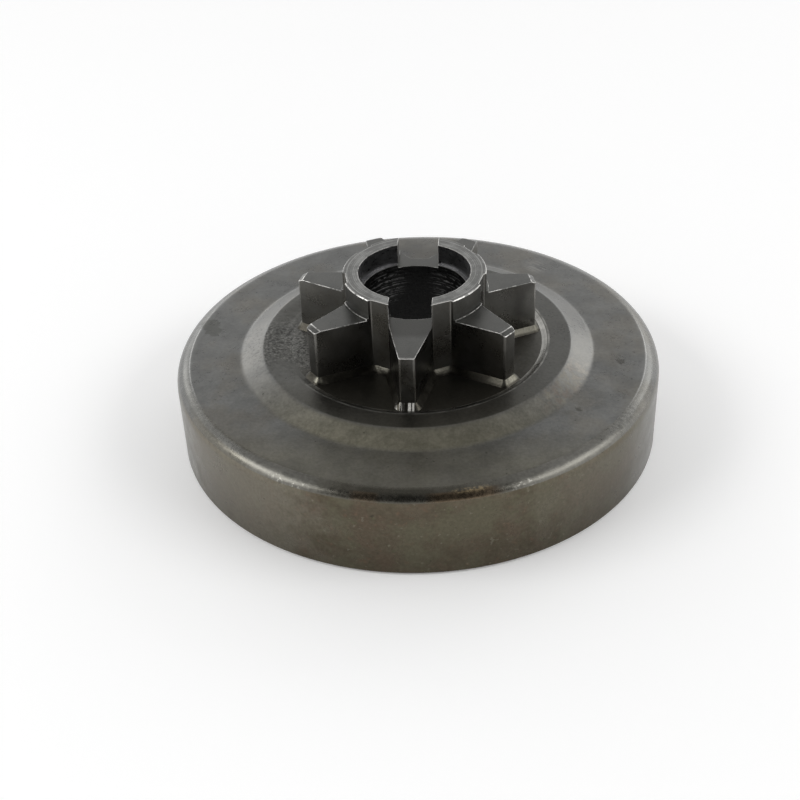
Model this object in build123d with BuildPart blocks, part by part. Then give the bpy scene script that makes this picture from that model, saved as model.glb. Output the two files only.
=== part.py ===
"""Chainsaw sprocket: a clutch drum with a spur sprocket and a slotted drive collar in one piece.

Millimetres. The axis of rotation is Z and the origin lies on it, in the plane of the open rim, so the
drum stands on its rim with the sprocket up. The front tooth and the front slot point along -Y.
"""
import os
from math import cos, radians, sin

from build123d import *

# Drum cup
drum_diameter = 75.0
drum_height = 13.9
drum_wall = 3.0
plate_thickness = 3.0
corner_bevel_width = 2.2
corner_bevel_drop = 0.55
corner_radius = 2.2
inner_corner_chamfer = 1.5
rim_chamfer = 0.4

# Raised step of the end plate, and the shallow recess turned into it round the teeth
step_rise = 1.55
step_run = 3.45
step_edge_radius = 0.5
land_width = 3.65
recess_depth = 0.3
recess_bevel = 0.8
tip_to_recess = 0.85

# Spur teeth
tooth_count = 7
tip_radius = 18.6
tip_width = 2.3
tip_edge_radius = 0.35
tip_chamfer = 0.7
tip_chamfer_drop = 0.35
root_flat = 10.4
gullet_flat = 2.9
root_fillet = 0.3
tooth_height = 8.75
base_strip = 0.85

# Drive collar, its foot ring and its two slots
collar_diameter = 21.75
collar_height = 3.4
collar_chamfer = 0.12
foot_ring_width = 0.35
foot_ring_height = 0.3
slot_width = 6.3
slot_sink = 0.3

# Bearing bore, with a shallow counterbore that ends just over the floor of the slots
bore_diameter = 16.0
bore_chamfer = 0.5
counterbore_diameter = 17.0
counterbore_depth = 3.25
counterbore_chamfer = 0.5

# Radii and heights that follow from the sizes above
drum_radius = drum_diameter / 2
cup_radius = drum_radius - drum_wall
recess_foot_radius = tip_radius + tip_to_recess
recess_rim_radius = recess_foot_radius + recess_bevel
step_top_radius = recess_rim_radius + land_width
step_foot_radius = step_top_radius + step_run
collar_radius = collar_diameter / 2
foot_ring_radius = collar_radius + foot_ring_width

plate_top = drum_height
bevel_foot = plate_top - corner_bevel_drop
plate_underside = plate_top - plate_thickness
step_top = plate_top + step_rise
step_underside = step_top - plate_thickness
recess_floor = step_top - recess_depth
tooth_top = recess_floor + tooth_height
collar_top = tooth_top + collar_height

# Foot of a flank, where it meets the flat of the gullet: its distance along the tooth and to the side
half_pitch = radians(180 / tooth_count)
flank_foot_along = root_flat * cos(half_pitch) + gullet_flat / 2 * sin(half_pitch)
flank_foot_aside = root_flat * sin(half_pitch) - gullet_flat / 2 * cos(half_pitch)

# Outline of the spur: a root with a flat in each gullet, and straight-flanked teeth
with BuildSketch() as spur_outline:
    RegularPolygon(root_flat, tooth_count, major_radius=False, rotation=-90)
    with PolarLocations(0, tooth_count, start_angle=-90):
        Polygon(
            (0, 0),
            (flank_foot_along, -flank_foot_aside),
            (tip_radius, -tip_width / 2),
            (tip_radius, tip_width / 2),
            (flank_foot_along, flank_foot_aside),
            align=None,
        )
    fillet(spur_outline.vertices().group_by(SortBy.DISTANCE)[0], radius=root_fillet)
    fillet(spur_outline.vertices().group_by(SortBy.DISTANCE)[-1], radius=tip_edge_radius)

with BuildPart() as drum:
    # Cup: end plate with its raised step and recess, and the round wall down to the rim
    with BuildSketch(Plane.XZ) as section:
        with BuildLine():
            Polyline(
                (0, step_underside),
                (step_top_radius - plate_thickness / 2, step_underside),
                (step_foot_radius - plate_thickness / 2, plate_underside),
                (cup_radius, plate_underside),
                (cup_radius, 0),
                (drum_radius, 0),
                (drum_radius, bevel_foot),
                (drum_radius - corner_bevel_width, plate_top),
                (step_foot_radius, plate_top),
                (step_top_radius, step_top),
                (recess_rim_radius, step_top),
                (recess_foot_radius, recess_floor),
                (0, recess_floor),
                close=True,
            )
        make_face()
        outer_corner = section.vertices().sort_by_distance((drum_radius, bevel_foot))[0]
        fillet(outer_corner, radius=corner_radius)
        inner_corner = section.vertices().sort_by_distance((cup_radius, plate_underside))[0]
        chamfer(inner_corner, length=inner_corner_chamfer)
        step_edge = section.vertices().sort_by_distance((step_top_radius, step_top))[0]
        fillet(step_edge, radius=step_edge_radius)
        rim_edges = section.vertices().group_by(Axis.Y)[0]
        chamfer(rim_edges, length=rim_chamfer)
    revolve(axis=Axis.Z)

    # Sloping strip that runs all round the foot of the teeth
    with BuildSketch(Plane.XY.offset(recess_floor)):
        add(spur_outline.sketch)
        offset(amount=base_strip, kind=Kind.INTERSECTION, mode=Mode.REPLACE)
    extrude(amount=base_strip, taper=45)

    # Teeth, with the tips turned off at a slope on their upper edge
    with BuildSketch(Plane.XY.offset(recess_floor)):
        add(spur_outline.sketch)
    extrude(amount=tooth_height)
    with BuildSketch(Plane.XZ):
        with BuildLine():
            Polyline(
                (tip_radius - tip_chamfer, tooth_top),
                (tip_radius + tip_chamfer, tooth_top - 2 * tip_chamfer_drop),
                (tip_radius + tip_chamfer, tooth_top),
                close=True,
            )
        make_face()
    revolve(axis=Axis.Z, mode=Mode.SUBTRACT)

    # Collar: round, and notched by the gullets, which run up through it
    for ring_radius, ring_height in (
        (foot_ring_radius, foot_ring_height),
        (collar_radius, collar_height),
    ):
        with BuildSketch(Plane.XY.offset(tooth_top)):
            add(spur_outline.sketch)
            Circle(ring_radius, mode=Mode.INTERSECT)
        extrude(amount=ring_height)
    with BuildSketch(Plane.XZ):
        with BuildLine():
            Polyline(
                (collar_radius - collar_chamfer, collar_top),
                (collar_radius + collar_chamfer, collar_top - 2 * collar_chamfer),
                (collar_radius + collar_chamfer, collar_top),
                close=True,
            )
        make_face()
    revolve(axis=Axis.Z, mode=Mode.SUBTRACT)

    # Bearing bore from the top, with its lower mouth bevelled. The bevel meant for the upper mouth falls on
    # the top edge of the front-left gullet, and the upper mouth is sharp: a known fault
    with Locations((0, 0, collar_top)):
        CounterBoreHole(
            radius=bore_diameter / 2,
            counter_bore_radius=counterbore_diameter / 2,
            counter_bore_depth=counterbore_depth,
        )
    lower_mouth = drum.edges().filter_by(GeomType.CIRCLE).filter_by_position(
        Axis.Z, step_underside, step_underside
    )
    chamfer(lower_mouth.sort_by(SortBy.RADIUS)[0], length=bore_chamfer)
    upper_mouth = drum.edges().filter_by(GeomType.CIRCLE).filter_by_position(Axis.Z, collar_top, collar_top)
    chamfer(upper_mouth.sort_by(SortBy.RADIUS)[0], length=counterbore_chamfer)

    # Two opposite slots, milled straight across, a little into the top of the front tooth
    with BuildSketch(Plane.XY.offset(tooth_top - slot_sink)):
        Rectangle(slot_width, 2 * tip_radius)
    extrude(amount=collar_height + slot_sink, mode=Mode.SUBTRACT)

drum.part.label = "spur_clutch_drum"
os.makedirs("parts", exist_ok=True)
export_step(drum.part, "parts/spur_clutch_drum.step")
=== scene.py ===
"""Looks of the chainsaw sprocket: dark oiled steel, worn bright on its edges, with painted highlights, glints
and shade in places, on a white floor.

One mesh stands for the drum. Its spur, collar, bore and recess are the frame's own faces of the right half,
mirrored to the left, with their edges broken. Its turned cup is spun from the drum's section, fine enough for
forging waves and pits. Sizes of the drum are in millimetres and become metres where the mesh is made.
"""
import math

import bmesh
import bpy
from mathutils import Matrix, Vector, noise
from mathutils.bvhtree import BVHTree


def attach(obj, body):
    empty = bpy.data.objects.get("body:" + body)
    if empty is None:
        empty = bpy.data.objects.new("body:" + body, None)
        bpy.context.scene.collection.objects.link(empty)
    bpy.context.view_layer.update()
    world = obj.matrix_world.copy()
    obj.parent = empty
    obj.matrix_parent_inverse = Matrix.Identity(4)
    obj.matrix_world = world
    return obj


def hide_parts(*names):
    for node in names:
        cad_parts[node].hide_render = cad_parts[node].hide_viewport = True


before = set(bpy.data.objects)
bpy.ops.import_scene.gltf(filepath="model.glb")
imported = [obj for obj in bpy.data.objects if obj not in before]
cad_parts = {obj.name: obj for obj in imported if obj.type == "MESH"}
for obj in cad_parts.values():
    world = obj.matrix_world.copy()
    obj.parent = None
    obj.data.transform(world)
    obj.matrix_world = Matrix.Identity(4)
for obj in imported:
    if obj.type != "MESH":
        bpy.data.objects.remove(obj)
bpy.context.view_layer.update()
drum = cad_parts["spur_clutch_drum"]

MM = 0.001

# Sizes of the drum
DRUM_RADIUS = 37.5
WALL_THICKNESS = 3.0
PLATE_THICKNESS = 3.0
CUP_RADIUS = DRUM_RADIUS - WALL_THICKNESS
PLATE_TOP = 13.9
PLATE_UNDERSIDE = PLATE_TOP - PLATE_THICKNESS
STEP_TOP = 15.45
STEP_UNDERSIDE = STEP_TOP - PLATE_THICKNESS
STEP_TOP_RADIUS = 23.9
STEP_FOOT_RADIUS = 27.35
STEP_UNDER_TOP_RADIUS = STEP_TOP_RADIUS - PLATE_THICKNESS / 2
STEP_UNDER_FOOT_RADIUS = STEP_FOOT_RADIUS - PLATE_THICKNESS / 2
RECESS_RIM_RADIUS = 20.25
RECESS_FOOT_RADIUS = 19.45
RECESS_FLOOR = 15.15
CORNER_BEVEL_WIDTH = 2.2
CORNER_BEVEL_DROP = 0.55
CORNER_RADIUS = 2.2
STEP_EDGE_RADIUS = 0.5
RIM_CHAMFER = 0.4
INNER_CHAMFER = 1.5
BORE_RADIUS = 8.0
BORE_CHAMFER = 0.5
COUNTERBORE_RADIUS = 8.5
SHOULDER_HEIGHT = 24.05
TOOTH_COUNT = 7
TIP_RADIUS = 18.6
TIP_HALF_WIDTH = 1.15
FLANK_SLOPE = 0.2416
TIP_CHAMFER = 0.7
TIP_CHAMFER_DROP = 0.35
TOOTH_TOP = 23.9
STRIP_TOP = 16.0
COLLAR_RADIUS = 10.875
COLLAR_TOP = 27.3

# Start and end of the drum's corner, as radius less height
CORNER_START = DRUM_RADIUS - CORNER_BEVEL_WIDTH - PLATE_TOP
CORNER_END = 24.6

# Softened edges: broken edges of the spur, the lip round the recess, and small fillets of the cup
EDGE_BREAK = 0.09
LIP_RISE = 0.03
LIP_FOOT = 0.08
LIP_CREST = 0.15
LIP_END = 0.38
STEP_FOOT_FILLET = 1.5
CORNER_START_FILLET = 2.4
RIM_FILLET = 0.1
INNER_FILLET = 0.2
UNDERSIDE_FILLET = 0.5

# Wear: facets on two front teeth (tooth, run along it, drop), waves and pits of the skin, and the edge of the
# recess that fades out at the left, between degrees round from the front
WORN_TIPS = ((-1, 0.85, 0.26), (1, 0.78, 0.41))
WAVE_SIZE = 7.0
WAVE_DEPTH = 0.03
PIT_SIZE = 0.55
PIT_DEPTH = 0.03
FADE_DEPTH = 0.2
FADE_STARTS = (-135, -105)
FADE_ENDS = (-62, -38)
EDGE_GONE_FROM = -125
EDGE_GONE_TO = -50

# Fineness of the mesh
SEGMENTS = 512
FINE = 0.25
MEDIUM = 0.5
COARSE = 1.6
ARC_STEP = math.radians(9)
SHARP_ANGLE = math.radians(24)
CREASE_ANGLE = math.radians(40)
FLAT_ANGLE = math.radians(0.5)
MOUTH_MARGIN = 0.4
NEAR = 0.02

# Camera, as fitted to the photograph's 800 x 800 frame
IMAGE_PIXELS = 800
FOCAL_PIXELS = 1320.2
SENSOR_MM = 36.0
CAMERA_AZIMUTH = 4.704
CAMERA_ELEVATION = 33.626
CAMERA_ROLL = -2.398
CAMERA_DISTANCE = 208.85 * MM
CAMERA_TARGET = Vector((0, 0, 10 * MM))
CAMERA_AIM_ACROSS = -2.919 * MM
CAMERA_AIM_UP = -5.288 * MM

# Studio: a soft tent, dim overhead, open and dark on the camera's side
HORIZON_LIGHT = 1.3
ZENITH_LIGHT = 0.54
DIMMING_HEIGHTS = (0.25, 0.75)
FRONT_SHARE = 0.10
FRONT_DEPTHS = (-0.45, 0.12)
FRONT_LOW_SHARE = 0.8
FRONT_LOW_HEIGHTS = (0.34, 0.44)
FLOOR_HALF = 0.6
FLOOR_COLOUR = (0.95, 0.95, 0.95, 1)
FLOOR_GLOW = 0.14
WHITE = (1, 1, 1, 1)
SOFTBOX_DISTANCE = 0.7

# Softboxes: degrees round from the camera's side, degrees over the floor, width, height, brightness
SOFTBOXES = {
    "left": (-70, 38, 0.46, 0.26, 4.2),
    "right": (76, 38, 0.50, 0.26, 3.2),
    "back_left": (-147, 21, 0.34, 0.20, 1.25),
    "back_right": (147, 27, 0.34, 0.20, 1.5),
}


def direction(around, height):
    """Unit vector, degrees round from the camera's side and degrees over the floor."""
    around = math.radians(around)
    height = math.radians(height)
    return Vector((
        math.sin(around) * math.cos(height),
        -math.cos(around) * math.cos(height),
        math.sin(height),
    ))


def make_camera():
    back = direction(CAMERA_AZIMUTH, CAMERA_ELEVATION)
    place = CAMERA_TARGET + back * CAMERA_DISTANCE
    across = Vector((0, 0, 1)).cross(back).normalized()
    above = back.cross(across)
    aim = CAMERA_TARGET + across * CAMERA_AIM_ACROSS + above * CAMERA_AIM_UP
    back = (place - aim).normalized()
    across = Vector((0, 0, 1)).cross(back).normalized()
    above = back.cross(across)
    roll = math.radians(CAMERA_ROLL)
    right = math.cos(roll) * across + math.sin(roll) * above
    up = math.cos(roll) * above - math.sin(roll) * across
    data = bpy.data.cameras.new("camera")
    data.sensor_width = SENSOR_MM
    data.lens = FOCAL_PIXELS / IMAGE_PIXELS * SENSOR_MM
    data.clip_start = 0.01
    data.clip_end = 20
    camera = bpy.data.objects.new("camera", data)
    turn = Matrix((right, up, back)).transposed().to_4x4()
    camera.matrix_world = Matrix.Translation(place) @ turn
    bpy.context.scene.collection.objects.link(camera)
    bpy.context.scene.camera = camera


def smooth_range(tree, value, low, high, to_low, to_high):
    """Socket that goes smoothly from to_low to to_high as the value goes from low to high."""
    node = tree.nodes.new("ShaderNodeMapRange")
    node.interpolation_type = "SMOOTHSTEP"
    tree.links.new(value, node.inputs["Value"])
    node.inputs["From Min"].default_value = low
    node.inputs["From Max"].default_value = high
    node.inputs["To Min"].default_value = to_low
    node.inputs["To Max"].default_value = to_high
    return node.outputs["Result"]


def make_world():
    world = bpy.data.worlds.new("studio")
    world.use_nodes = True
    tree = world.node_tree
    coordinates = tree.nodes.new("ShaderNodeTexCoord")
    split = tree.nodes.new("ShaderNodeSeparateXYZ")
    tree.links.new(coordinates.outputs["Generated"], split.inputs["Vector"])
    depth = split.outputs["Y"]
    height = split.outputs["Z"]
    tent = smooth_range(tree, height, *DIMMING_HEIGHTS, HORIZON_LIGHT, ZENITH_LIGHT)
    front = smooth_range(tree, depth, *FRONT_DEPTHS, FRONT_SHARE, 1.0)
    low = smooth_range(tree, height, *FRONT_LOW_HEIGHTS, FRONT_LOW_SHARE, 0.0)
    share = tree.nodes.new("ShaderNodeMath")
    share.operation = "MAXIMUM"
    tree.links.new(front, share.inputs[0])
    tree.links.new(low, share.inputs[1])
    light = tree.nodes.new("ShaderNodeMath")
    light.operation = "MULTIPLY"
    tree.links.new(tent, light.inputs[0])
    tree.links.new(share.outputs["Value"], light.inputs[1])
    background = tree.nodes["Background"]
    background.inputs["Color"].default_value = WHITE
    tree.links.new(light.outputs["Value"], background.inputs["Strength"])
    bpy.context.scene.world = world


def make_softboxes():
    for name, (around, height, width, tall, brightness) in SOFTBOXES.items():
        data = bpy.data.lights.new("softbox_" + name, "AREA")
        data.shape = "RECTANGLE"
        data.size = width
        data.size_y = tall
        data.energy = brightness * math.pi * width * tall
        lamp = bpy.data.objects.new("softbox_" + name, data)
        back = direction(around, height)
        lamp.location = back * SOFTBOX_DISTANCE
        lamp.rotation_euler = back.to_track_quat("Z", "Y").to_euler()
        bpy.context.scene.collection.objects.link(lamp)


def make_floor():
    half = FLOOR_HALF
    corners = [(-half, -half, 0), (half, -half, 0), (half, half, 0), (-half, half, 0)]
    mesh = bpy.data.meshes.new("floor")
    mesh.from_pydata(corners, [], [(0, 1, 2, 3)])
    floor = bpy.data.objects.new("floor", mesh)
    bpy.context.scene.collection.objects.link(floor)
    material = bpy.data.materials.new("white_floor")
    material.use_nodes = True
    shader = material.node_tree.nodes["Principled BSDF"]
    shader.inputs["Base Color"].default_value = FLOOR_COLOUR
    shader.inputs["Roughness"].default_value = 0.9
    shader.inputs["Emission Color"].default_value = WHITE
    shader.inputs["Emission Strength"].default_value = FLOOR_GLOW
    mesh.materials.append(material)


class Finish:
    """A metal finish under construction, with short names for its shader nodes. Places are in millimetres."""

    def __init__(self, name):
        self.material = bpy.data.materials.new(name)
        self.material.use_nodes = True
        self.nodes = self.material.node_tree.nodes
        self.links = self.material.node_tree.links
        self.shader = self.nodes["Principled BSDF"]
        coordinates = self.nodes.new("ShaderNodeTexCoord")
        scale = self.nodes.new("ShaderNodeVectorMath")
        scale.operation = "SCALE"
        scale.inputs["Scale"].default_value = 1 / MM
        self.links.new(coordinates.outputs["Object"], scale.inputs[0])
        self.place = scale.outputs["Vector"]
        flat = self.nodes.new("ShaderNodeVectorMath")
        flat.operation = "MULTIPLY"
        flat.inputs[1].default_value = (1, 1, 0)
        self.links.new(self.place, flat.inputs[0])
        length = self.nodes.new("ShaderNodeVectorMath")
        length.operation = "LENGTH"
        self.links.new(flat.outputs["Vector"], length.inputs[0])
        self.radius = length.outputs["Value"]
        split = self.nodes.new("ShaderNodeSeparateXYZ")
        self.links.new(self.place, split.inputs["Vector"])
        self.across = split.outputs["X"]
        self.depth = split.outputs["Y"]
        self.height = split.outputs["Z"]

    def put(self, socket, value):
        """Links a socket to a socket, or sets it to a plain value."""
        if isinstance(value, bpy.types.NodeSocket):
            self.links.new(value, socket)
        else:
            socket.default_value = value

    def math(self, operation, first, second=0.0):
        node = self.nodes.new("ShaderNodeMath")
        node.operation = operation
        self.put(node.inputs[0], first)
        self.put(node.inputs[1], second)
        return node.outputs["Value"]

    def times(self, *factors):
        product = factors[0]
        for factor in factors[1:]:
            product = self.math("MULTIPLY", product, factor)
        return product

    def plus(self, *terms):
        total = terms[0]
        for term in terms[1:]:
            total = self.math("ADD", total, term)
        return total

    def ramp(self, value, low, high, to_low=0.0, to_high=1.0):
        """Goes smoothly from to_low to to_high as the value goes from low to high."""
        return smooth_range(self.material.node_tree, value, low, high, to_low, to_high)

    def band(self, value, low, high, soft):
        """1 between low and high, falling to 0 over a soft border."""
        inner = self.ramp(value, low - soft, low + soft)
        outer = self.ramp(value, high - soft, high + soft, 1.0, 0.0)
        return self.times(inner, outer)

    def noise(self, size, detail=3.0, rough=0.55, stretch=(1, 1, 1), shift=0.0):
        """Noise about 0.5, with features about size millimetres across."""
        mapping = self.nodes.new("ShaderNodeMapping")
        mapping.inputs["Location"].default_value = (shift, shift, shift)
        mapping.inputs["Scale"].default_value = stretch
        self.links.new(self.place, mapping.inputs["Vector"])
        node = self.nodes.new("ShaderNodeTexNoise")
        node.inputs["Scale"].default_value = 1 / size
        node.inputs["Detail"].default_value = detail
        node.inputs["Roughness"].default_value = rough
        self.links.new(mapping.outputs["Vector"], node.inputs["Vector"])
        return node.outputs["Fac"]

    def drawn(self, size, stretch, shift=0.0):
        """Noise about 0.5 on the cup's skin, drawn out round the axis."""
        turned = self.nodes.new("ShaderNodeCombineXYZ")
        reach = DRUM_RADIUS / stretch
        self.put(turned.inputs["X"], self.times(self.math("DIVIDE", self.across, self.radius), reach))
        self.put(turned.inputs["Y"], self.times(self.math("DIVIDE", self.depth, self.radius), reach))
        self.put(turned.inputs["Z"], self.plus(self.math("SUBTRACT", self.radius, self.height), shift))
        node = self.nodes.new("ShaderNodeTexNoise")
        node.inputs["Scale"].default_value = 1 / size
        node.inputs["Detail"].default_value = 3.0
        self.links.new(turned.outputs["Vector"], node.inputs["Vector"])
        return node.outputs["Fac"]

    def lines(self, along, size, detail=2.0):
        """Uneven lines across the way that the value grows, such as turning marks along a radius."""
        node = self.nodes.new("ShaderNodeTexNoise")
        node.noise_dimensions = "1D"
        self.put(node.inputs["W"], along)
        node.inputs["Scale"].default_value = 1 / size
        node.inputs["Detail"].default_value = detail
        return node.outputs["Fac"]

    def patch(self, around, radius, height, reach, ragged):
        """1 about a place on the drum, falling to 0 at its reach, with a border made ragged by a noise.

        The place is given in degrees round from the front, radius and height.
        """
        centre = direction(around, 0) * radius
        centre.z = height
        node = self.nodes.new("ShaderNodeVectorMath")
        node.operation = "DISTANCE"
        self.links.new(self.place, node.inputs[0])
        node.inputs[1].default_value = centre
        uneven = self.math("MULTIPLY_ADD", ragged, reach)
        uneven.node.inputs[2].default_value = -reach / 2
        distance = self.plus(node.outputs["Value"], uneven)
        return self.ramp(distance, 0.35 * reach, reach, 1.0, 0.0)

    def either(self, *shares):
        """Largest of the shares."""
        largest = shares[0]
        for share in shares[1:]:
            largest = self.math("MAXIMUM", largest, share)
        return largest

    def mix(self, share, first, second):
        """Colour between two colours."""
        node = self.nodes.new("ShaderNodeMix")
        node.data_type = "RGBA"
        self.put(node.inputs["Factor"], share)
        for socket, colour in zip((node.inputs[6], node.inputs[7]), (first, second)):
            self.put(socket, colour if isinstance(colour, bpy.types.NodeSocket) else (*colour, 1.0))
        return node.outputs[2]

    def tint(self, colour, share):
        """A colour made lighter or darker by a factor."""
        node = self.nodes.new("ShaderNodeVectorMath")
        node.operation = "SCALE"
        self.put(node.inputs[0], colour)
        self.put(node.inputs["Scale"], share)
        return node.outputs["Vector"]

    def relief(self, *layers):
        """Bump made of (height from 0 to 1, millimetres) layers."""
        normal = None
        for height, depth in layers:
            node = self.nodes.new("ShaderNodeBump")
            node.inputs["Strength"].default_value = 1.0
            node.inputs["Distance"].default_value = depth * MM
            self.links.new(height, node.inputs["Height"])
            if normal is not None:
                self.links.new(normal, node.inputs["Normal"])
            normal = node.outputs["Normal"]
        self.links.new(normal, self.shader.inputs["Normal"])

    def done(self, colour, roughness, metallic=1.0):
        self.put(self.shader.inputs["Base Color"], colour)
        self.put(self.shader.inputs["Roughness"], roughness)
        self.put(self.shader.inputs["Metallic"], metallic)
        return self.material


class Skin(Finish):
    """Finish of the cup's formed skin, with its noises and with masks for the parts of the cup."""

    def __init__(self):
        super().__init__("oiled_steel_skin")
        self.broad = self.noise(9.0, 4.0, 0.6)
        self.blotch = self.noise(3.2, 5.0, 0.62, shift=31.0)
        self.speckle = self.noise(1.1, 4.0, 0.65, shift=19.0)
        self.grain = self.noise(0.45, 3.0, 0.6, shift=7.0)
        self.fine = self.noise(0.2, 2.0, 0.5, shift=3.0)
        self.streak = self.drawn(0.4, 6.0)
        self.slope = self.math("SUBTRACT", self.radius, self.height)
        self.cone = self.times(
            self.band(self.radius, STEP_TOP_RADIUS + 0.2, STEP_FOOT_RADIUS - 0.1, 0.5),
            self.ramp(self.height, PLATE_TOP - 1.0, PLATE_TOP - 0.3),
        )
        self.land = self.times(
            self.ramp(self.radius, STEP_TOP_RADIUS - 0.3, STEP_TOP_RADIUS + 0.1, 1.0, 0.0),
            self.ramp(self.height, PLATE_TOP + 0.1, PLATE_TOP + 0.9),
        )
        self.outer = self.ramp(self.radius, DRUM_RADIUS - 2.6, DRUM_RADIUS - 2.3)
        self.corner = self.times(self.band(self.slope, CORNER_START + 0.05, CORNER_END, 0.12), self.outer)
        self.wall = self.times(self.ramp(self.slope, CORNER_END - 0.15, CORNER_END + 0.15), self.outer)
        self.front = self.ramp(self.depth, -27.0, -10.0, 1.0, 0.0)

    def plate_colour(self):
        """Grey plate with a thin brown patina, lighter at the right and olive in front."""
        grey = self.mix(self.ramp(self.broad, 0.35, 0.65), (0.118, 0.119, 0.115), (0.132, 0.131, 0.124))
        tan = self.mix(self.ramp(self.blotch, 0.35, 0.65), (0.136, 0.122, 0.098), (0.116, 0.106, 0.084))
        colour = self.mix(self.ramp(self.broad, 0.42, 0.62, 0.0, 0.35), grey, tan)
        olive = self.mix(self.ramp(self.blotch, 0.3, 0.7), (0.140, 0.134, 0.108), (0.122, 0.116, 0.098))
        colour = self.mix(self.ramp(self.depth, -30.0, -20.0, 0.85, 0.0), colour, olive)
        cloud = self.noise(5.0, 4.0, 0.6, shift=97.0)
        colour = self.tint(colour, self.ramp(cloud, 0.3, 0.7, 0.88, 1.12))
        return self.tint(colour, self.ramp(self.across, 8.0, 26.0, 1.0, 1.16))

    def wall_colour(self):
        """Brown wall with reddish and green specks, lighter above, with paler patches at the left and right
        and a light band at the sides painted as sheen.
        """
        colour = self.mix(self.ramp(self.blotch, 0.35, 0.65), (0.104, 0.088, 0.064), (0.078, 0.066, 0.047))
        colour = self.mix(self.ramp(self.speckle, 0.56, 0.72, 0.0, 0.6), colour, (0.132, 0.086, 0.060))
        colour = self.mix(self.ramp(self.speckle, 0.44, 0.30, 0.0, 0.7), colour, (0.094, 0.092, 0.058))
        cloud = self.noise(6.0, 3.0, 0.6, shift=101.0)
        colour = self.mix(self.ramp(cloud, 0.46, 0.62, 0.0, 0.75), colour, (0.103, 0.096, 0.067))
        colour = self.mix(self.ramp(cloud, 0.46, 0.34, 0.0, 0.45), colour, (0.104, 0.076, 0.056))
        flecks = self.ramp(self.noise(0.8, 2.0, 0.5, shift=103.0), 0.66, 0.74)
        colour = self.mix(self.times(flecks, 0.35), colour, (0.200, 0.186, 0.150))
        # Paler patches at the left and right: painted sheen where the side lights fall on the wall.
        pale = self.either(
            self.patch(-42, DRUM_RADIUS, 9.0, 20.0, self.blotch),
            self.times(self.patch(50, DRUM_RADIUS, 9.0, 18.0, self.blotch), 0.5),
        )
        colour = self.mix(self.times(pale, 0.7), colour, (0.174, 0.160, 0.130))
        colour = self.tint(colour, self.ramp(self.height, 1.0, 9.0, 0.88, 1.12))
        # Light band where the wall turns away at the sides: painted grazing sheen.
        side = self.ramp(self.math("ABSOLUTE", self.across), 30.0, 37.0)
        return self.mix(self.times(side, 0.6), colour, (0.235, 0.233, 0.222))

    def step_colour(self):
        """Pale step, olive in front."""
        pale = self.mix(self.ramp(self.blotch, 0.3, 0.7), (0.150, 0.149, 0.141), (0.176, 0.173, 0.161))
        pale = self.tint(pale, self.ramp(self.depth, 0.0, 9.0, 1.04, 0.74))
        olive = self.mix(self.ramp(self.speckle, 0.3, 0.7), (0.150, 0.143, 0.108), (0.192, 0.180, 0.140))
        olive = self.tint(olive, self.ramp(self.across, -12.0, 16.0, 1.14, 0.92))
        return self.mix(self.front, pale, olive)

    def plain_colour(self):
        """Plate, wall, step and dull land, before their wear and dirt, with painted shade on the land in
        front and on the plate behind the spur.
        """
        colour = self.mix(self.wall, self.plate_colour(), self.wall_colour())
        colour = self.mix(self.cone, colour, self.step_colour())
        # Land in front painted darker still: painted shade and dark reflection of the spur.
        dull = self.mix(self.front, (0.082, 0.081, 0.074), (0.064, 0.060, 0.048))
        colour = self.mix(self.times(self.land, 0.85), colour, dull)
        # Painted shade on the plate behind the spur.
        painted_shade_behind_spur = self.patch(180, 27.0, PLATE_TOP, 10.0, self.broad)
        return self.tint(colour, self.ramp(painted_shade_behind_spur, 0.0, 1.0, 1.0, 0.78))

    def rubbed_corner_and_painted_highlight(self):
        """Where the corner is rubbed bright and painted as a highlight, at the left and right of the front.
        """
        places = self.either(
            self.patch(-28, 36.6, 13.2, 10.0, self.broad), self.patch(37, 36.6, 13.2, 15.0, self.broad)
        )
        return self.times(self.corner, places)

    def corner_wear_and_painted_light(self, colour, rubbed):
        """Corner: painted dark reflection in front, with brown ends, rubbed bright and painted with
        highlights and glints where the side lights catch it.
        """
        # Painted dark reflection on the corner in front.
        colour = self.mix(self.times(self.corner, self.front, 0.6), colour, (0.108, 0.102, 0.086))
        upper = self.times(self.band(self.slope, CORNER_START + 0.35, CORNER_START + 1.6, 0.35), self.outer)
        # Darker still in the middle of the front, on the upper corner: painted dark reflection.
        middle = self.patch(0, 36.3, 13.6, 11.0, self.blotch)
        colour = self.mix(self.times(upper, middle, 0.7), colour, (0.050, 0.047, 0.038))
        # Lighter upper corner at the left and right: painted highlight of the side lights.
        flanks = self.either(
            self.patch(-50, 36.2, 13.6, 22.0, self.broad), self.patch(52, 36.2, 13.6, 22.0, self.broad)
        )
        colour = self.mix(self.times(upper, flanks, 0.85), colour, (0.190, 0.188, 0.176))
        # Lighter again where the side lights catch it: painted highlight.
        lit = self.times(self.corner, self.ramp(flanks, 0.2, 0.9))
        colour = self.tint(colour, self.ramp(lit, 0.0, 1.0, 1.0, 1.16))
        # Rubbed steel, painted brighter as a highlight of the side lights, with painted glitter in it.
        glitter = self.ramp(self.plus(self.streak, self.ramp(self.grain, 0.3, 0.7, -0.06, 0.06)), 0.38, 0.72)
        colour = self.mix(self.times(rubbed, 0.7), colour, (0.160, 0.156, 0.140))
        colour = self.mix(self.times(rubbed, glitter, 0.4), colour, (0.210, 0.204, 0.184))
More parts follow.
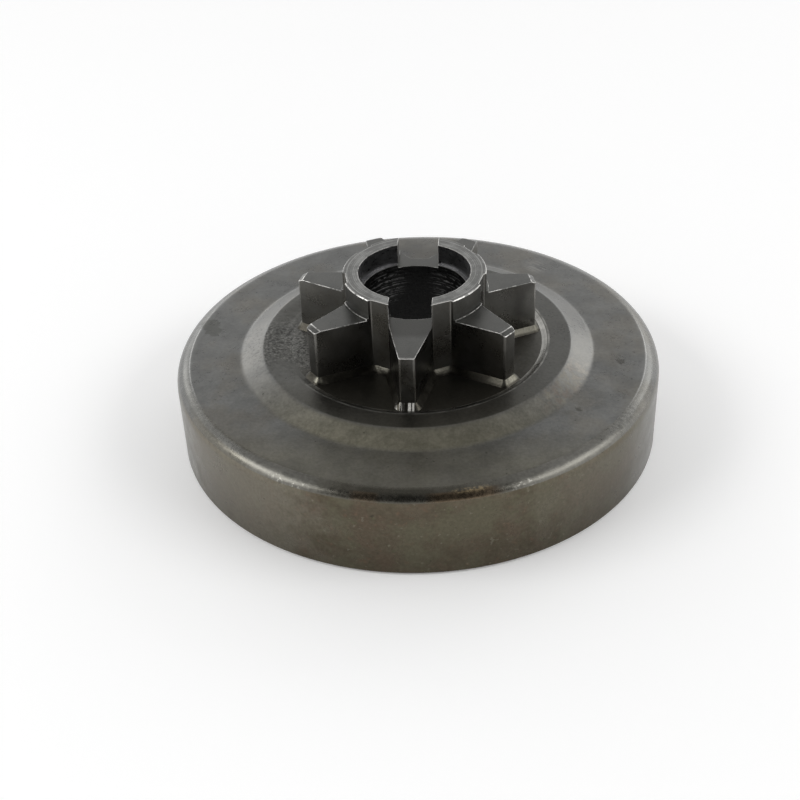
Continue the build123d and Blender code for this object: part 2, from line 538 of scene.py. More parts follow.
        # Small bright specks on the rubbed corner: painted glints.
        painted_glint_specks = self.times(
            self.either(
                self.patch(-25, 36.5, 13.4, 4.5, self.grain),
                self.patch(27, 36.5, 13.4, 3.5, self.grain),
            ),
            self.corner,
            self.ramp(self.slope, CORNER_START + 1.5, CORNER_START + 2.0),
            self.ramp(self.grain, 0.56, 0.64),
        )
        colour = self.mix(self.times(painted_glint_specks, 0.6), colour, (0.42, 0.41, 0.37))
        ends = self.times(
            self.either(
                self.times(self.patch(-7.5, 36.6, 13.3, 2.6, self.blotch), 0.7),
                self.patch(10.0, 36.8, 13.0, 3.6, self.blotch),
                self.patch(17.0, 36.8, 13.0, 3.6, self.blotch),
            ),
            self.corner,
            self.ramp(self.slope, CORNER_START + 1.1, CORNER_START + 1.7),
        )
        colour = self.mix(self.times(ends, 0.7), colour, (0.170, 0.120, 0.074))
        # Orange-brown sparkle near the right end: painted highlight.
        sparkle = self.times(
            self.patch(15.5, 36.4, 13.5, 3.2, self.blotch),
            self.band(self.slope, CORNER_START + 1.0, CORNER_START + 1.9, 0.3),
            self.ramp(self.plus(self.streak, self.ramp(self.grain, 0.3, 0.7, -0.15, 0.15)), 0.36, 0.62),
        )
        colour = self.mix(self.times(sparkle, 0.85), colour, (0.42, 0.33, 0.20))
        # Thin bright line at the corner's inner border, far left and far right: painted highlight.
        border = self.times(
            self.band(self.slope, CORNER_START + 0.02, CORNER_START + 0.22, 0.10),
            self.outer,
            self.either(
                self.patch(84, 35.4, PLATE_TOP, 17.0, self.blotch),
                self.patch(-84, 35.4, PLATE_TOP, 17.0, self.blotch),
            ),
        )
        return self.mix(self.times(border, 0.7), colour, (0.34, 0.34, 0.33))

    def rusty_step(self):
        """Where the step is rusty, at the right."""
        place = self.patch(62, 25.8, 14.6, 8.0, self.blotch)
        return self.times(place, self.cone, self.ramp(self.speckle, 0.42, 0.60), 0.6)

    def pitted_land(self):
        """Where the land is pitted, at the left."""
        place = self.patch(-86, 22.6, STEP_TOP, 9.0, self.blotch)
        return self.times(place, self.either(self.land, self.times(self.cone, 0.5)))

    def dirt(self, colour, rust, pitted):
        """Rust and dust on the step, an oil stain, specks of dirt, and pits at the left of the land."""
        red = self.mix(self.ramp(self.blotch, 0.45, 0.55), (0.152, 0.124, 0.102), (0.166, 0.150, 0.114))
        colour = self.mix(rust, colour, red)
        dusty = self.patch(72, 26.0, 14.5, 5.0, self.blotch)
        dust = self.times(dusty, self.cone, self.ramp(self.speckle, 0.46, 0.60))
        colour = self.mix(self.times(dust, 0.55), colour, (0.262, 0.246, 0.216))
        stain = self.either(
            self.patch(-99, 34.3, PLATE_TOP, 2.4, self.speckle),
            self.patch(-96.0, 33.0, PLATE_TOP, 1.9, self.speckle),
        )
        colour = self.mix(self.times(self.ramp(stain, 0.3, 0.6), 0.5), colour, (0.046, 0.047, 0.038))
        scratched = self.patch(143, 31.5, PLATE_TOP, 3.0, self.streak)
        scratches = self.times(scratched, self.ramp(self.streak, 0.40, 0.60))
        colour = self.mix(self.times(scratches, 0.5), colour, (0.26, 0.255, 0.24))
        specks = self.ramp(self.noise(0.9, 2.0, 0.5, shift=71.0), 0.27, 0.22)
        colour = self.mix(self.times(specks, 0.55), colour, (0.045, 0.043, 0.036))
        spots = self.either(
            self.patch(83, 31.6, PLATE_TOP, 0.9, self.grain), self.patch(56, 29.6, PLATE_TOP, 0.7, self.grain)
        )
        colour = self.mix(self.times(spots, 0.6), colour, (0.045, 0.043, 0.036))
        pits = self.times(pitted, self.ramp(self.grain, 0.48, 0.38))
        colour = self.mix(self.times(pits, 0.8), colour, (0.030, 0.029, 0.026))
        crests = self.times(pitted, self.ramp(self.grain, 0.54, 0.64))
        return self.mix(self.times(crests, 0.6), colour, (0.200, 0.197, 0.182))


def skin_finish():
    """Formed skin of the cup: wall, corner, plate, step and land."""
    skin = Skin()
    rubbed = skin.rubbed_corner_and_painted_highlight()
    rust = skin.rusty_step()
    pitted = skin.pitted_land()
    colour = skin.corner_wear_and_painted_light(skin.plain_colour(), rubbed)
    colour = skin.dirt(colour, rust, pitted)
    shade = skin.plus(
        skin.ramp(skin.grain, 0.2, 0.8, 0.87, 1.13), skin.ramp(skin.blotch, 0.25, 0.75, -0.08, 0.08)
    )
    colour = skin.tint(colour, shade)
    even = skin.times(
        skin.ramp(skin.slope, CORNER_START - 0.1, CORNER_START + 0.1, 1.0, 0.0),
        skin.ramp(skin.depth, -30.0, -8.0, 1.0, 0.0),
    )
    roughness = skin.plus(
        skin.ramp(skin.blotch, 0.25, 0.75, 0.26, 0.35),
        skin.ramp(skin.grain, 0.2, 0.8, -0.03, 0.05),
        skin.times(even, 0.08),
        skin.times(rust, 0.18),
        skin.times(rubbed, 0.08),
        skin.times(skin.corner, -0.05),
        skin.times(pitted, 0.10),
    )
    skin.relief(
        (skin.broad, 0.05),
        (skin.blotch, 0.02),
        (skin.times(pitted, skin.grain), 0.05),
        (skin.grain, 0.007),
        (skin.fine, 0.002),
    )
    return skin.done(colour, roughness, skin.ramp(rust, 0.0, 1.0, 1.0, 0.6))


def spur_finish():
    """Flanks, tips and gullets of the spur: smooth and dark, lighter on the side teeth with painted
    reflection, and with painted shade on the teeth in front.
    """
    finish = Finish("oiled_steel_spur")
    broad = finish.noise(4.0, 3.0)
    drawn = finish.noise(0.5, 3.0, 0.6, stretch=(1, 1, 0.15), shift=5.0)
    grain = finish.noise(0.3, 3.0, 0.6, shift=11.0)
    wide = finish.noise(14.0, 1.0, shift=107.0)
    colour = finish.mix(finish.ramp(broad, 0.3, 0.7), (0.104, 0.099, 0.088), (0.124, 0.121, 0.113))
    # Lighter places on the teeth at the sides: painted reflection of the side lights and floor.
    pale_places = finish.either(
        finish.times(finish.patch(-102.9, 18.6, 20.0, 7.0, wide), 0.12),
        finish.times(finish.patch(-92.0, 13.5, 20.0, 9.0, wide), 0.055),
        finish.times(finish.patch(102.9, 19.2, 20.0, 5.0, broad), 0.3),
        finish.times(finish.patch(90.5, 12.4, 20.0, 5.0, broad), 0.17),
        finish.times(finish.patch(-51.4, 19.0, 20.0, 4.5, broad), 0.16),
    )
    colour = finish.mix(pale_places, colour, (0.560, 0.555, 0.530))
    # Darker places on the teeth in front: painted shade.
    painted_shade = finish.either(
        finish.times(finish.patch(-15.0, 12.5, 20.5, 5.0, broad), 0.5),
        finish.times(finish.patch(44.0, 15.5, 20.0, 7.0, broad), 0.6),
        finish.times(finish.patch(-44.0, 15.5, 20.0, 6.0, broad), 0.4),
    )
    colour = finish.mix(painted_shade, colour, (0.046, 0.043, 0.036))
    # Darkest beside the front tooth: painted shade.
    colour = finish.mix(finish.patch(-6.0, 15.6, 20.5, 4.4, broad), colour, (0.034, 0.032, 0.026))
    colour = finish.tint(colour, finish.ramp(grain, 0.2, 0.8, 0.93, 1.07))
    roughness = finish.plus(
        finish.ramp(broad, 0.3, 0.7, 0.26, 0.33), finish.ramp(grain, 0.2, 0.8, -0.02, 0.03)
    )
    finish.relief((broad, 0.03), (drawn, 0.004), (grain, 0.002))
    return finish.done(colour, roughness)


def turned_finish():
    """Tops of the teeth, floors of the slots and the collar, faced on a lathe, with painted shade on the slot
    floors in front.
    """
    finish = Finish("oiled_steel_turned")
    rings = finish.lines(finish.radius, 0.24, 3.0)
    broken = finish.noise(2.2, 3.0, 0.6, shift=73.0)
    blotch = finish.noise(1.8, 4.0, shift=13.0)
    grain = finish.noise(0.28, 3.0, 0.6, shift=17.0)
    collar = finish.ramp(finish.height, TOOTH_TOP + 0.7, TOOTH_TOP + 1.1)
    ringed = finish.times(
        collar, finish.ramp(finish.plus(rings, finish.ramp(broken, 0.3, 0.7, -0.14, 0.14)), 0.42, 0.66)
    )
    slots = finish.times(
        finish.band(finish.across, -3.2, 3.2, 0.05),
        finish.ramp(finish.radius, 12.0, 13.6, 1.0, 0.0),
        finish.ramp(finish.height, TOOTH_TOP + 0.3, TOOTH_TOP + 0.5, 1.0, 0.0),
    )
    colour = finish.mix(finish.ramp(blotch, 0.3, 0.7), (0.092, 0.092, 0.087), (0.110, 0.110, 0.104))
    # Slot floors darker towards the front: painted shade from the collar's walls.
    painted_shade = finish.times(slots, finish.ramp(finish.depth, -4.0, 4.0, 0.7, 0.3))
    colour = finish.mix(painted_shade, colour, (0.052, 0.051, 0.047))
    colour = finish.mix(finish.times(collar, 0.75), colour, (0.146, 0.146, 0.140))
    colour = finish.mix(finish.times(ringed, 0.7), colour, (0.290, 0.290, 0.279))
    outside = finish.times(collar, finish.ramp(finish.radius, COLLAR_RADIUS - 0.12, COLLAR_RADIUS - 0.04))
    colour = finish.mix(finish.times(outside, 0.8), colour, (0.092, 0.090, 0.082))
    colour = finish.tint(colour, finish.ramp(grain, 0.2, 0.8, 0.86, 1.14))
    roughness = finish.plus(
        finish.ramp(blotch, 0.3, 0.7, 0.29, 0.37), finish.ramp(grain, 0.2, 0.8, -0.03, 0.05)
    )
    finish.relief((finish.times(rings, collar), 0.03), (grain, 0.005))
    return finish.done(colour, roughness)


def bore_finish():
    """Bore and counterbore, painted near black as shade down the bore, with turning marks round them painted
    bright as glints at the back left and back right, and lighter above the shoulder.
    """
    finish = Finish("oiled_steel_bore")
    marks = finish.lines(finish.height, 0.42, 3.0)
    broken = finish.noise(1.0, 3.0, 0.6, stretch=(1, 1, 2.5), shift=23.0)
    grain = finish.noise(0.25, 2.0, shift=29.0)
    above = finish.ramp(finish.height, SHOULDER_HEIGHT - 0.1, SHOULDER_HEIGHT - 0.02)
    # Places at the back where the turning marks catch the light: painted glints.
    places = finish.either(
        finish.patch(-138, BORE_RADIUS, 21.0, 5.0, broken), finish.patch(132, BORE_RADIUS, 20.5, 6.0, broken)
    )
    marks_with_painted_glints = finish.times(finish.ramp(marks, 0.48, 0.60), finish.ramp(broken, 0.44, 0.58), places)
    # Near-black colour of the bore: painted shade.
    colour = finish.mix(finish.ramp(broken, 0.3, 0.7), (0.048, 0.048, 0.048), (0.070, 0.070, 0.069))
    colour = finish.mix(finish.times(places, 0.5), colour, (0.110, 0.110, 0.108))
    colour = finish.mix(marks_with_painted_glints, colour, (0.74, 0.74, 0.73))
    colour = finish.mix(finish.times(above, 0.75), colour, (0.25, 0.25, 0.255))
    colour = finish.tint(colour, finish.ramp(grain, 0.2, 0.8, 0.8, 1.2))
    finish.relief((finish.times(marks, places), 0.05), (broken, 0.01))
    return finish.done(colour, finish.ramp(broken, 0.3, 0.7, 0.26, 0.40))


def cup_finish():
    """Inside of the cup: the wall is run smooth, the plate is plain forged steel."""
    finish = Finish("oiled_steel_cup")
    blotch = finish.noise(4.0, 4.0, 0.6, shift=37.0)
    grain = finish.noise(0.4, 3.0, 0.6, shift=41.0)
    rings = finish.lines(finish.plus(finish.height, finish.radius), 0.3, 3.0)
    run = finish.times(
        finish.ramp(finish.radius, CUP_RADIUS - 0.4, CUP_RADIUS - 0.1),
        finish.band(finish.height, 0.6, 9.2, 0.4),
    )
    colour = finish.mix(finish.ramp(blotch, 0.3, 0.7), (0.118, 0.112, 0.098), (0.138, 0.136, 0.128))
    colour = finish.mix(finish.times(run, 0.7), colour, (0.205, 0.202, 0.192))
    colour = finish.tint(colour, finish.ramp(rings, 0.25, 0.75, 0.85, 1.15))
    roughness = finish.plus(
        finish.ramp(blotch, 0.3, 0.7, 0.28, 0.38), finish.ramp(grain, 0.2, 0.8, -0.03, 0.05)
    )
    finish.relief((blotch, 0.03), (rings, 0.012), (grain, 0.006))
    return finish.done(colour, roughness)


def edge_finish():
    """Broken edges, rubbed bright in places, most of all on the collar, with chips on the slot edges made a
    white non-metal as painted glints.
    """
    finish = Finish("oiled_steel_edge")
    chips = finish.noise(0.7, 3.0, 0.65, shift=43.0)
    broad = finish.noise(4.0, 2.0, shift=47.0)
    collar = finish.ramp(finish.height, 24.0, 26.0, 0.0, 0.10)
    behind = finish.times(
        finish.ramp(finish.depth, 3.0, 6.0),
        finish.ramp(finish.height, TOOTH_TOP + 0.3, TOOTH_TOP + 0.7, 1.0, 0.0),
    )
    rubbed = finish.ramp(finish.plus(chips, collar, finish.ramp(broad, 0.3, 0.7, -0.12, 0.12)), 0.40, 0.58)
    rubbed = finish.times(rubbed, finish.ramp(behind, 0.0, 1.0, 1.0, 0.2))
    colour = finish.mix(rubbed, (0.14, 0.14, 0.133), (0.56, 0.55, 0.53))
    # Chips on the slot edges, white and not metal: painted glints.
    slot = finish.times(
        finish.band(finish.across, -3.5, 3.5, 0.1),
        finish.band(finish.height, 23.8, 26.9, 0.3),
        finish.ramp(finish.depth, -6.0, -5.0, 1.0, 0.0),
        finish.ramp(chips, 0.38, 0.50),
    )
    roughness = finish.ramp(chips, 0.3, 0.7, 0.38, 0.26)
    metallic = finish.ramp(slot, 0.0, 1.0, 1.0, 0.1)
    finish.relief((chips, 0.02))
    return finish.done(colour, roughness, metallic)


def recess_edge_finish():
    """Bevel round the recess, turned bright, painted dark in front as shade."""
    finish = Finish("oiled_steel_bevel")
    rings = finish.lines(finish.radius, 0.18, 2.0)
    blotch = finish.noise(1.6, 4.0, shift=53.0)
    grain = finish.noise(0.3, 3.0, shift=59.0)
    # Darker in front, where the bevel faces away: painted shade.
    front = finish.ramp(finish.depth, -18.0, -11.0, 1.0, 0.0)
    colour = finish.mix(finish.ramp(rings, 0.35, 0.65), (0.24, 0.235, 0.220), (0.40, 0.394, 0.370))
    colour = finish.mix(finish.times(front, 0.7), colour, (0.085, 0.081, 0.070))
    colour = finish.tint(colour, finish.ramp(blotch, 0.25, 0.75, 0.8, 1.2))
    finish.relief((rings, 0.015), (grain, 0.006))
    return finish.done(colour, finish.ramp(blotch, 0.3, 0.7, 0.26, 0.36))


def strip_finish():
    """Sloping strip round the foot of the teeth: dark, with a pale skin in places, painted shade beside the
    teeth in front and painted glints at the front tooth's foot.
    """
    finish = Finish("oiled_steel_strip")
    blotch = finish.noise(1.5, 4.0, 0.6, shift=61.0)
    grain = finish.noise(0.3, 3.0, 0.6, shift=67.0)
    foot = RECESS_FLOOR + 0.4
    pale_places = finish.either(
        finish.times(finish.patch(-25.7, 10.9, foot, 2.0, blotch), 0.45),
        finish.times(finish.patch(25.7, 10.9, foot, 2.2, blotch), 0.6),
        finish.times(finish.patch(47.5, 18.4, foot, 2.6, blotch), 0.35),
        finish.times(finish.patch(52.5, 19.2, foot, 1.6, blotch), 0.75),
        finish.times(finish.patch(96.0, 16.6, foot, 5.6, grain), 0.5),
        finish.times(finish.patch(-102.0, 19.0, foot, 1.4, blotch), 0.8),
        finish.times(finish.patch(-47.5, 18.8, foot, 0.9, grain), 0.8),
    )
    dark = finish.mix(finish.ramp(blotch, 0.3, 0.7), (0.040, 0.037, 0.030), (0.062, 0.058, 0.048))
    pale = finish.mix(finish.ramp(blotch, 0.3, 0.7), (0.170, 0.162, 0.132), (0.250, 0.240, 0.200))
    # Darker beside the teeth in front: painted shade.
    painted_shade = finish.either(
        finish.patch(-40.0, 15.0, foot, 6.5, blotch),
        finish.times(finish.patch(38.0, 14.0, foot, 5.0, blotch), 0.8),
    )
    dark = finish.mix(finish.times(painted_shade, 0.85), dark, (0.016, 0.015, 0.012))
    upper = finish.ramp(finish.height, RECESS_FLOOR + 0.12, RECESS_FLOOR + 0.36)
    colour = finish.mix(finish.times(pale_places, upper), dark, pale)
    # Bright stripes at the front tooth's foot: painted glints.
    glints = finish.times(
        finish.patch(0, 19.2, foot, 2.4, grain),
        finish.ramp(finish.lines(finish.across, 0.5, 1.0), 0.50, 0.58),
    )
    colour = finish.mix(glints, colour, (0.72, 0.71, 0.67))
    colour = finish.tint(colour, finish.ramp(grain, 0.2, 0.8, 0.75, 1.25))
    roughness = finish.plus(finish.ramp(blotch, 0.3, 0.7, 0.30, 0.42), finish.times(glints, 0.2))
    finish.relief((blotch, 0.03), (grain, 0.015))
    return finish.done(colour, roughness)


def floor_finish():
    """Floor of the recess, dull and dark between the teeth, painted darker in front as shade."""
    finish = Finish("oiled_steel_floor")
    blotch = finish.noise(2.0, 4.0, 0.6, shift=79.0)
    grain = finish.noise(0.35, 3.0, 0.6, shift=83.0)
    # Darker in front, among the front teeth: painted shade.
    front = finish.ramp(finish.depth, -14.0, -6.0, 1.0, 0.0)
    colour = finish.mix(finish.ramp(blotch, 0.3, 0.7), (0.080, 0.077, 0.067), (0.098, 0.095, 0.085))
    colour = finish.mix(front, colour, (0.054, 0.051, 0.042))
    left = finish.patch(-80.0, 20.0, RECESS_FLOOR, 9.0, blotch)
    colour = finish.mix(finish.times(left, 0.9), colour, (0.128, 0.127, 0.119))
    pits = finish.times(left, finish.ramp(grain, 0.48, 0.38))
    colour = finish.mix(finish.times(pits, 0.8), colour, (0.030, 0.029, 0.026))
    crests = finish.times(left, finish.ramp(grain, 0.54, 0.64))
    colour = finish.mix(finish.times(crests, 0.6), colour, (0.220, 0.217, 0.200))
    colour = finish.tint(colour, finish.ramp(grain, 0.2, 0.8, 0.85, 1.15))
    finish.relief((blotch, 0.02), (grain, 0.006))
    return finish.done(colour, finish.ramp(blotch, 0.3, 0.7, 0.44, 0.52))


def lip_finish():
    """Fine lip round the recess: grey, rubbed bright in places, plain at the left."""
    finish = Finish("oiled_steel_lip")
    chips = finish.noise(2.4, 3.0, 0.6, shift=89.0)
    plain = finish.ramp(finish.across, -17.0, -10.0, 1.0, 0.0)
    rubbed = finish.times(finish.ramp(chips, 0.36, 0.64), finish.ramp(plain, 0.0, 1.0, 1.0, 0.1))
    colour = finish.mix(rubbed, (0.120, 0.118, 0.108), (0.260, 0.256, 0.240))
    finish.relief((chips, 0.01))
    return finish.done(colour, 0.40)


# Finishes in the order of the mesh's material slots
SKIN, SPUR, TURNED, BORE, CUP, EDGE, BEVEL, STRIP, FLOOR, LIP = range(10)
FINISHES = (
    skin_finish, spur_finish, turned_finish, bore_finish,
    cup_finish, edge_finish, recess_edge_finish, strip_finish,
    floor_finish, lip_finish,
)


def polar(point):
    """Radius and height of a point of the mesh, in millimetres."""
    return math.hypot(point.x, point.y) / MM, point.z / MM


def degrees_round(point):
    """Degrees from the front to a point of the mesh, positive to the right."""
    return math.degrees(math.atan2(point.x, -point.y))


def spur_zone(face):
    """Finish of a face of the spur, by its place and slope."""
    radius, height = polar(face.calc_center_median())
    upward = face.normal.z
    if radius < COUNTERBORE_RADIUS + NEAR and (upward < 0.5 or abs(height - SHOULDER_HEIGHT) < NEAR):
        return BORE
    if height < RECESS_FLOOR + NEAR:
        return FLOOR
    if height > COLLAR_TOP - 0.2 and radius > COLLAR_RADIUS - 0.3 and 0.3 < upward < 0.9:
        return EDGE
    if height < STEP_TOP and radius > RECESS_FOOT_RADIUS - 0.1 and upward > 0.85:
        return BEVEL
    if height < STRIP_TOP and upward > 0.3:
        return STRIP
    if upward > 0.3 or radius > COLLAR_RADIUS - NEAR and height > TOOTH_TOP and abs(upward) < 0.1:
        return TURNED
    return SPUR


def wear_tips(mesh):
    """Gives two front teeth the facets that wear has left over their tips."""
    for tooth, run, drop in WORN_TIPS:
        along = direction(360 * tooth / TOOTH_COUNT, 0)
        beside = Vector((-along.y, along.x, 0))
        for vert in mesh.verts:
            radius, height = polar(vert.co)
            if radius < TIP_RADIUS - 1 or height < TOOTH_TOP - 0.6 or along.dot(vert.co) < radius * MM * 0.95:
                continue
            if height > TOOTH_TOP - NEAR:
                reach = along.dot(vert.co) / MM
                aside = beside.dot(vert.co)
                moved = reach + TIP_CHAMFER - run
                taper = (TIP_HALF_WIDTH + FLANK_SLOPE * (TIP_RADIUS - moved)) / (
                    TIP_HALF_WIDTH + FLANK_SLOPE * (TIP_RADIUS - reach))
                vert.co = along * moved * MM + beside * aside * taper + Vector((0, 0, vert.co.z))
            else:
                vert.co.z = (TOOTH_TOP - (TOOTH_TOP - height) * drop / TIP_CHAMFER_DROP) * MM


def even_halves(mesh):
    """Makes the left half of a closed mesh the mirror image of its right half.

    In the frame, the top edge of the front-left gullet has a bevel that is a known fault of the solid. The
    right half has none, so the mirrored mesh shows a plain gullet there and differs from the solid.
    """
    bmesh.ops.bisect_plane(
        mesh, geom=mesh.verts[:] + mesh.edges[:] + mesh.faces[:], dist=NEAR * MM / 10,
        plane_co=(0, 0, 0), plane_no=(1, 0, 0), clear_inner=True,
    )
    bmesh.ops.mirror(
        mesh, geom=mesh.verts[:] + mesh.edges[:] + mesh.faces[:], axis="X", merge_dist=NEAR * MM / 10
    )
    bmesh.ops.recalc_face_normals(mesh, faces=mesh.faces)


def on_collar_side(edge):
    """Whether an edge stands upright on the round side of the collar, away from the slots."""
    (first, low), (second, high) = (polar(vert.co) for vert in edge.verts)
    round_side = abs(first - COLLAR_RADIUS) < NEAR and abs(second - COLLAR_RADIUS) < NEAR
    return round_side and abs(high - low) > 1 and abs(edge.verts[0].co.x) > 4 * MM


def spur_mesh():
    """Faces of the frame inside the recess, down through the bore, with their outer edges broken."""
    mesh = bmesh.new()
    mesh.from_mesh(drum.data)
    bmesh.ops.remove_doubles(mesh, verts=mesh.verts, dist=NEAR * MM / 10)
    even_halves(mesh)
    dropped = []
    for face in mesh.faces:
        places = [polar(vert.co) for vert in face.verts]
        outside = any(radius > RECESS_RIM_RADIUS + NEAR for radius, height in places)
        below = all(height < RECESS_FLOOR - NEAR for radius, height in places)
        bore = all(radius < BORE_RADIUS + BORE_CHAMFER + NEAR for radius, height in places)
        if outside or not bore and (below or face.normal.z < -0.5):
            dropped.append(face)
    bmesh.ops.delete(mesh, geom=dropped, context="FACES")
    bmesh.ops.dissolve_limit(
        mesh, angle_limit=FLAT_ANGLE, verts=mesh.verts, edges=mesh.edges, delimit={"NORMAL"}
    )
    wear_tips(mesh)
    solid = BVHTree.FromBMesh(mesh)
    for face in mesh.faces:
        face.material_index = spur_zone(face)
    outer_edges = [
        edge for edge in mesh.edges
        if len(edge.link_faces) == 2 and edge.is_convex and edge.calc_face_angle() > SHARP_ANGLE
        and max(polar(vert.co)[1] for vert in edge.verts) > STRIP_TOP + NEAR
        and not any(face.material_index == EDGE for face in edge.link_faces) and not on_collar_side(edge)
    ]
    bmesh.ops.bevel(
        mesh, geom=outer_edges, offset=EDGE_BREAK * MM, offset_type="OFFSET", segments=2, profile=0.5,
        affect="EDGES", clamp_overlap=False, material=EDGE,
    )
    mesh.normal_update()
    for face in mesh.faces:
        upright = abs(face.normal.z) < 0.2 and polar(face.calc_center_median())[1] < TOOTH_TOP
        if face.material_index == EDGE and upright:
            face.material_index = SPUR
    for vert in mesh.verts:
        near, normal, index, distance = solid.find_nearest(vert.co)
        radius, height = polar(vert.co)
        if distance > EDGE_BREAK * MM and (height > TOOTH_TOP + NEAR or radius < TIP_RADIUS - 2):
            vert.co = near
        vert.co.z = min(vert.co.z, COLLAR_TOP * MM)
    return mesh


def rounded(corners):
    """Dense line through (radius, height, fillet, spacing, finish) corners, with the finish of each run."""
    places = [Vector(corner[:2]) for corner in corners]
    line = [(places[0], corners[0][4])]
    for index in range(1, len(corners)):
        fillet = corners[index][2]
        spacing, finish = corners[index - 1][3:]
        into = (places[index] - places[index - 1]).normalized()
        start = line[-1][0]
        end = places[index]
        turn = 0.0
        if index + 1 < len(corners) and fillet:
            out = (places[index + 1] - places[index]).normalized()
            turn = math.atan2(into.x * out.y - into.y * out.x, into.dot(out))
            end = places[index] - into * fillet * math.tan(abs(turn) / 2)
        count = max(1, round((end - start).length / spacing))
        line += [(start.lerp(end, step / count), finish) for step in range(1, count + 1)]
        if turn:
            side = Vector((-into.y, into.x)) * math.copysign(1, turn)
            centre = end + side * fillet
            steps = max(2, math.ceil(abs(turn) / ARC_STEP))
            for step in range(1, steps + 1):
                swing = turn * step / steps
                arm = -side * fillet
                line.append((
                    centre + Vector((
                        arm.x * math.cos(swing) - arm.y * math.sin(swing),
                        arm.x * math.sin(swing) + arm.y * math.cos(swing),
                    )),
                    finish,
                ))
    return line


def cup_section():
    """Section of the cup, from the land round the rim to the lower mouth of the bore."""
    return rounded((
        (RECESS_RIM_RADIUS + LIP_FOOT, STEP_TOP, 0, FINE, LIP),
        (RECESS_RIM_RADIUS + LIP_CREST, STEP_TOP + LIP_RISE, 0, FINE, LIP),
        (RECESS_RIM_RADIUS + LIP_END, STEP_TOP, 0, FINE, SKIN),
        (STEP_TOP_RADIUS, STEP_TOP, STEP_EDGE_RADIUS, FINE, SKIN),
        (STEP_FOOT_RADIUS, PLATE_TOP, STEP_FOOT_FILLET, MEDIUM, SKIN),
        (DRUM_RADIUS - CORNER_BEVEL_WIDTH, PLATE_TOP, CORNER_START_FILLET, FINE, SKIN),
        (DRUM_RADIUS, PLATE_TOP - CORNER_BEVEL_DROP, CORNER_RADIUS, MEDIUM, SKIN),
        (DRUM_RADIUS, RIM_CHAMFER, RIM_FILLET, MEDIUM, SKIN),
        (DRUM_RADIUS - RIM_CHAMFER, 0, RIM_FILLET, COARSE, CUP),
        (CUP_RADIUS + RIM_CHAMFER, 0, RIM_FILLET, COARSE, CUP),
        (CUP_RADIUS, RIM_CHAMFER, RIM_FILLET, COARSE, CUP),
        (CUP_RADIUS, PLATE_UNDERSIDE - INNER_CHAMFER, INNER_FILLET, COARSE, CUP),
        (CUP_RADIUS - INNER_CHAMFER, PLATE_UNDERSIDE, INNER_FILLET, COARSE, CUP),
        (STEP_UNDER_FOOT_RADIUS, PLATE_UNDERSIDE, UNDERSIDE_FILLET, COARSE, CUP),
        (STEP_UNDER_TOP_RADIUS, STEP_UNDERSIDE, UNDERSIDE_FILLET, COARSE, CUP),
        (BORE_RADIUS + BORE_CHAMFER + MOUTH_MARGIN, STEP_UNDERSIDE, 0, COARSE, CUP),
    ))


def spin(mesh, line):
    """Adds the line, spun round the axis, to the mesh, and gives its first and last rings."""
    rings = []
    for place, finish in line:
        ring = []
        for segment in range(SEGMENTS):
            angle = 2 * math.pi * segment / SEGMENTS
            point = Vector((math.cos(angle) * place.x, math.sin(angle) * place.x, place.y))
            ring.append(mesh.verts.new(point * MM))
        rings.append(ring)
    for index in range(1, len(rings)):
        for segment in range(SEGMENTS):
            after = (segment + 1) % SEGMENTS
            before, ring = rings[index - 1], rings[index]
            face = mesh.faces.new((before[segment], ring[segment], ring[after], before[after]))
            face.material_index = line[index][1]
    return rings[0], rings[-1]


def close_gap(mesh, ring, radius, height, finish):
    """Fills the flat gap between a ring of the spun cup and the spur's open edge at a radius and height."""
    edges = [mesh.edges.get((ring[segment - 1], ring[segment])) for segment in range(SEGMENTS)]
    for edge in mesh.edges:
        places = [polar(vert.co) for vert in edge.verts]
        if len(edge.link_faces) == 1 and all(
            abs(at - radius) < NEAR and abs(up - height) < NEAR for at, up in places
        ):
            edges.append(edge)
    filled = bmesh.ops.triangle_fill(mesh, edges=edges, use_beauty=True, normal=(0, 0, 1))
    for item in filled["geom"]:
        if isinstance(item, bmesh.types.BMFace):
            item.material_index = finish


def smooth_step(value, low, high):
    """Goes smoothly from 0 to 1 as the value goes from low to high."""
    share = min(max((value - low) / (high - low), 0.0), 1.0)
    return share * share * (3 - 2 * share)


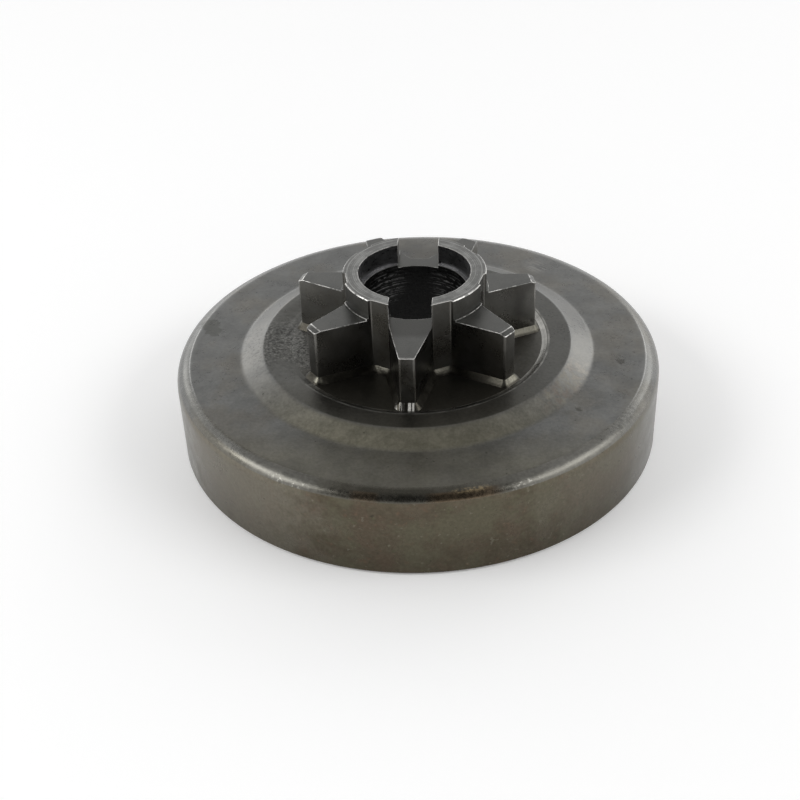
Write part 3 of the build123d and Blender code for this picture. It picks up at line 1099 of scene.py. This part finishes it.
def weather(mesh):
    """Forging waves on the skin, and at the left pits in the land and a fading edge of the recess."""
    mesh.normal_update()
    for vert in mesh.verts:
        radius, height = polar(vert.co)
        underneath = height < STEP_UNDERSIDE and radius < DRUM_RADIUS - 1
        if radius < RECESS_FOOT_RADIUS - 0.2 or height < 0.5 or underneath:
            continue
        around = degrees_round(vert.co)
        place = vert.co / MM
        left = smooth_step(around, *FADE_STARTS) * (1 - smooth_step(around, *FADE_ENDS))
        inside = 1 - smooth_step(radius, RECESS_RIM_RADIUS + 0.3, STEP_TOP_RADIUS - 0.6)
        raised = min(max((height - RECESS_FLOOR) / (STEP_TOP - RECESS_FLOOR), 0.0), 1.3)
        if radius < STEP_TOP_RADIUS:
            vert.co.z -= FADE_DEPTH * left * inside * raised * MM
        if radius > RECESS_RIM_RADIUS + NEAR:
            wave = 0.5 + 0.5 * noise.noise(place / WAVE_SIZE)
            pit = smooth_step(noise.noise(place / PIT_SIZE), 0.15, 0.5)
            pitted = left * (1 - smooth_step(radius, STEP_TOP_RADIUS - 0.4, STEP_TOP_RADIUS + 1.2))
            vert.co -= vert.normal * (WAVE_DEPTH * wave + PIT_DEPTH * pit * pitted) * MM


def make_piece():
    mesh = spur_mesh()
    first, last = spin(mesh, cup_section())
    close_gap(mesh, first, RECESS_RIM_RADIUS, STEP_TOP, SKIN)
    close_gap(mesh, last, BORE_RADIUS + BORE_CHAMFER, STEP_UNDERSIDE, CUP)
    for face in mesh.faces:
        around = degrees_round(face.calc_center_median())
        if face.material_index in (BEVEL, LIP) and EDGE_GONE_FROM < around < EDGE_GONE_TO:
            face.material_index = SKIN
    bmesh.ops.recalc_face_normals(mesh, faces=mesh.faces)
    weather(mesh)
    for face in mesh.faces:
        face.smooth = True
    for edge in mesh.edges:
        edge.smooth = not (len(edge.link_faces) == 2 and edge.calc_face_angle() > CREASE_ANGLE)
    data = bpy.data.meshes.new("worn_clutch_drum")
    mesh.to_mesh(data)
    mesh.free()
    piece = bpy.data.objects.new("worn_clutch_drum", data)
    bpy.context.scene.collection.objects.link(piece)
    for finish in FINISHES:
        data.materials.append(finish())
    weighted = piece.modifiers.new("flat faces stay flat", "WEIGHTED_NORMAL")
    weighted.keep_sharp = True
    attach(piece, "root")
    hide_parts("spur_clutch_drum")


make_camera()
make_world()
make_softboxes()
make_floor()
make_piece()

bpy.context.scene.view_settings.view_transform = "Standard"
